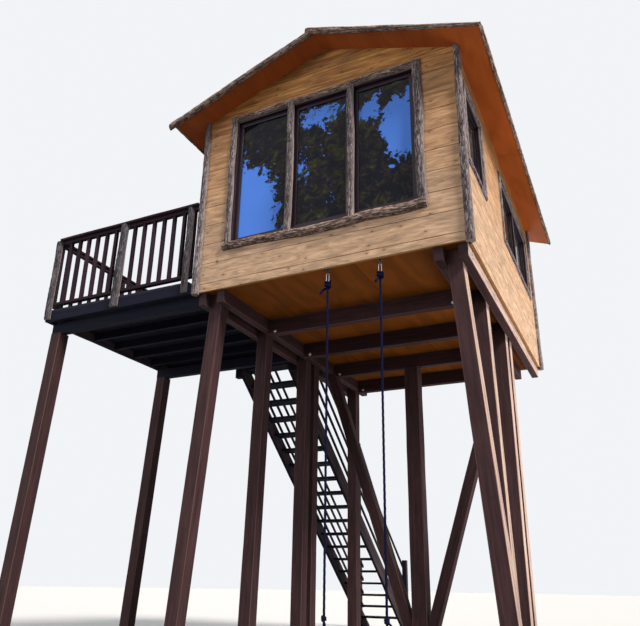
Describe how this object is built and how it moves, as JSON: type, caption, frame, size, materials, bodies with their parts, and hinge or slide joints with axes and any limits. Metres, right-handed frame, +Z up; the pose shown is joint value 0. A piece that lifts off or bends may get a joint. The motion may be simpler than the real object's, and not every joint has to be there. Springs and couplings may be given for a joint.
{
  "type": "tree house",
  "caption": "Timber tree house on splayed posts: pine cabin with gable roof, bark-log trims, wide front window, railed side deck, stair and a rope swing under the floor.",
  "frame": {"origin": "middle of the overall box, on the ground", "axes": "+X to the right seen from the front, +Y towards the back, +Z up; the wide window faces -Y"},
  "size_m": [6.1534, 8.1954, 7.0696],
  "materials": {
    "pine_cladding": "clear oil",
    "orange_plywood": "orange stain",
    "dark_timber": "dark stain",
    "bark_log": "rough bark",
    "deck_timber": "dark stain",
    "window_timber": "dark stain",
    "door_timber": "dark stain",
    "swing_plank": "oiled",
    "pane": "clear",
    "steel": "zinc plated",
    "rope": "braided",
    "roof_felt": "mineral felt"
  },
  "bodies": {
    "tree_house": {"front_wall": "pine_cladding", "back_wall": "pine_cladding", "right_wall": "pine_cladding", "left_wall": "pine_cladding", "underfloor_ply": "orange_plywood", "cabin_floor": "pine_cladding", "right_roof_slope": "orange_plywood", "left_roof_slope": "orange_plywood", "roof_covering": "roof_felt", "ridge_cap": "roof_felt", "barge_logs": "bark_log", "corner_logs": "bark_log", "front_window_frame": "window_timber", "front_window_glass": "pane", "front_window_cross_logs": "bark_log", "front_window_upright_logs": "bark_log", "side_window_frames": "window_timber", "side_window_glass": "pane", "side_window_logs": "bark_log", "door_frame": "window_timber", "door_leaf": "door_timber", "door_handle": "steel", "side_beams": "dark_timber", "cross_beams": "dark_timber", "splayed_posts": "dark_timber", "upright_posts": "dark_timber", "mast": "dark_timber", "struts": "dark_timber", "deck_rim": "deck_timber", "deck_joists": "deck_timber", "deck_boards": "deck_timber", "deck_beams": "deck_timber", "deck_posts": "dark_timber", "railing_logs": "bark_log", "railing_rails": "deck_timber", "balusters": "deck_timber", "handrail": "deck_timber", "stair_stringers": "deck_timber", "stair_treads": "deck_timber", "stair_newels": "deck_timber", "stair_rails": "deck_timber", "swing_eyes": "steel"},
    "swing": {"swing_hooks": "steel", "swing_ropes": "rope", "swing_seat": "swing_plank"}
  },
  "joints": [
    {"name": "swing_pivot", "type": "hinge", "parent": "tree_house", "child": "swing", "pos_m": [1.4607, -3.6887, 3.9161], "axis": [1, 0, 0], "range_deg": [-40, 40]}
  ]
}
